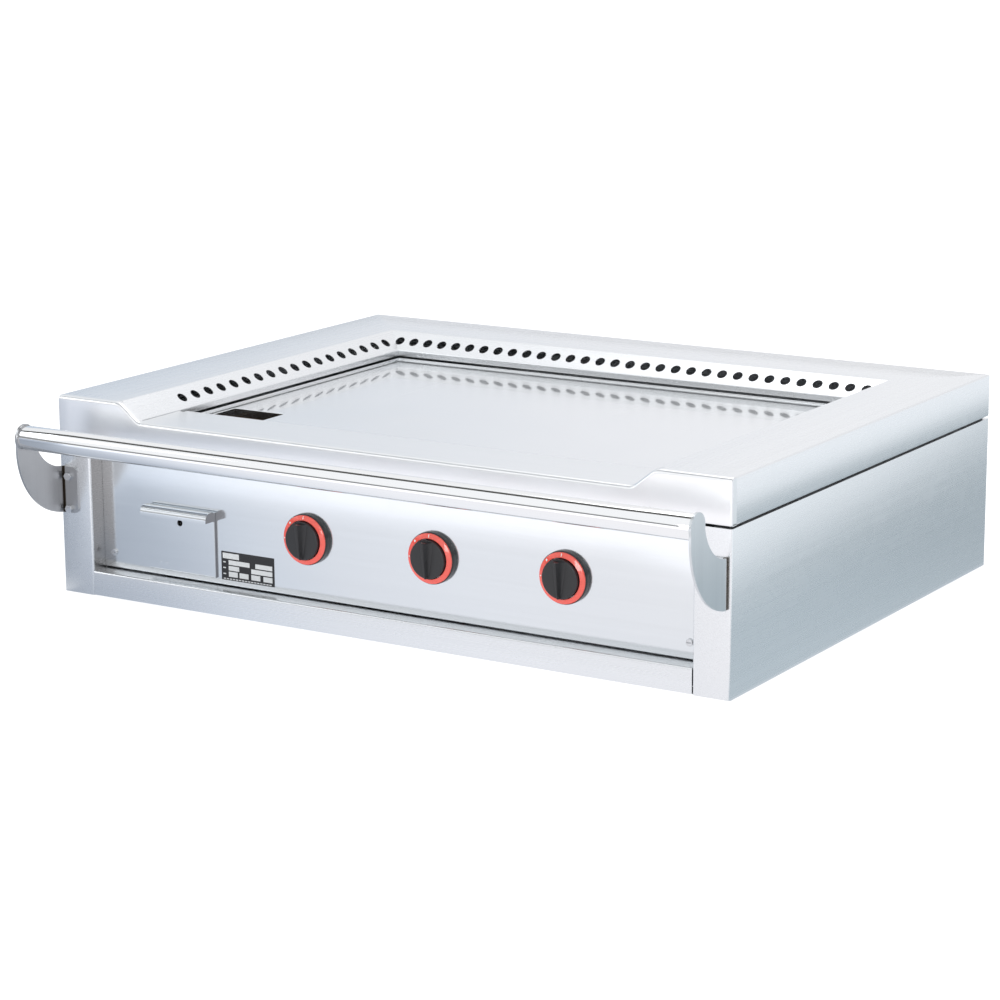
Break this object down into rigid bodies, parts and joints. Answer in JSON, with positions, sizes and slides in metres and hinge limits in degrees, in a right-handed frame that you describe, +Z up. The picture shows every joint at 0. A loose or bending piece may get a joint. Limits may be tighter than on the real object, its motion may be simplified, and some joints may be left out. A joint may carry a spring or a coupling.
{
  "type": "flat top griddle",
  "caption": "Counter-top gas flat top griddle: folded steel cabinet, recessed polished plate in a vented surround, turning push-in taps, pull-out grease drawer and hand rail.",
  "frame": {"origin": "centre of the cabinet's footprint, on the surface that it stands on", "axes": "+X to the right seen from the front, -Y towards the user (hand rail side), +Z up"},
  "size_m": [1, 0.8665, 0.266],
  "materials": {
    "sheet_steel": "fine brushed",
    "polished_steel": "polished",
    "griddle_steel": "mirror polished",
    "dark_steel": "mill finish",
    "burner_steel": "heat darkened",
    "gas_brass": "machined",
    "gas_pipe": "zinc coated",
    "fastener_steel": "machined",
    "knob_black": "satin black",
    "dial_red": "glossy",
    "plate_black": "printed film, blank fields"
  },
  "bodies": {
    "cabinet": {"base_pan": "sheet_steel", "side_panel_left": "sheet_steel", "side_panel_right": "sheet_steel", "back_panel": "sheet_steel", "back_screws": "fastener_steel", "front_bottom_rail": "sheet_steel", "front_top_rail": "sheet_steel", "control_panel": "sheet_steel", "panel_screws": "fastener_steel", "seat_frame": "dark_steel", "rim_left": "sheet_steel", "rim_right": "sheet_steel", "rim_back": "sheet_steel", "front_trim": "sheet_steel", "griddle_plate": "griddle_steel", "front_bearer": "dark_steel", "firebox": "dark_steel", "firebox_stands": "dark_steel", "grease_chute": "sheet_steel", "drawer_runner_left": "dark_steel", "drawer_runner_right": "dark_steel", "burner_1": "burner_steel", "burner_2": "burner_steel", "burner_3": "burner_steel", "burner_supports": "dark_steel", "injectors": "gas_brass", "feed_tube_1": "gas_brass", "feed_tube_2": "gas_brass", "feed_tube_3": "gas_brass", "gas_manifold": "gas_pipe", "gas_inlet": "gas_brass", "gas_valve_1": "gas_brass", "gas_valve_2": "gas_brass", "gas_valve_3": "gas_brass", "bezel_1": "knob_black", "bezel_2": "knob_black", "bezel_3": "knob_black", "dial_ring_1": "dial_red", "dial_ring_2": "dial_red", "dial_ring_3": "dial_red", "rating_plate": "plate_black", "rail_tube": "polished_steel", "rail_bracket_left": "polished_steel", "rail_bracket_right": "polished_steel", "rail_bolts": "fastener_steel"},
    "drawer": {"drawer_front": "sheet_steel", "drawer_box": "sheet_steel"},
    "tap_plug_1": {"valve_plug_1": "gas_brass", "return_spring_1": "fastener_steel"},
    "tap_knob_1": {"knob_1": "knob_black", "valve_stem_1": "fastener_steel"},
    "tap_plug_2": {"valve_plug_2": "gas_brass", "return_spring_2": "fastener_steel"},
    "tap_knob_2": {"knob_2": "knob_black", "valve_stem_2": "fastener_steel"},
    "tap_plug_3": {"valve_plug_3": "gas_brass", "return_spring_3": "fastener_steel"},
    "tap_knob_3": {"knob_3": "knob_black", "valve_stem_3": "fastener_steel"}
  },
  "joints": [
    {"name": "drawer_slide", "type": "slide", "parent": "cabinet", "child": "drawer", "axis": [0, -1, 0], "range_m": [0, 0.165]},
    {"name": "knob_turn_1", "type": "hinge", "parent": "cabinet", "child": "tap_plug_1", "pos_m": [-0.117, -0.32, 0.113], "axis": [0, -1, 0], "range_deg": [0, 90]},
    {"name": "knob_push_1", "type": "slide", "parent": "tap_plug_1", "child": "tap_knob_1", "axis": [0, 1, 0], "range_m": [0, 0.003], "stiffness_N_per_m": 1500, "springref_m": -0.002, "deforming": ["return_spring_1"]},
    {"name": "knob_turn_2", "type": "hinge", "parent": "cabinet", "child": "tap_plug_2", "pos_m": [0.073, -0.32, 0.113], "axis": [0, -1, 0], "range_deg": [0, 90]},
    {"name": "knob_push_2", "type": "slide", "parent": "tap_plug_2", "child": "tap_knob_2", "axis": [0, 1, 0], "range_m": [0, 0.003], "stiffness_N_per_m": 1500, "springref_m": -0.002, "deforming": ["return_spring_2"]},
    {"name": "knob_turn_3", "type": "hinge", "parent": "cabinet", "child": "tap_plug_3", "pos_m": [0.263, -0.32, 0.113], "axis": [0, -1, 0], "range_deg": [0, 90]},
    {"name": "knob_push_3", "type": "slide", "parent": "tap_plug_3", "child": "tap_knob_3", "axis": [0, 1, 0], "range_m": [0, 0.003], "stiffness_N_per_m": 1500, "springref_m": -0.002, "deforming": ["return_spring_3"]}
  ]
}
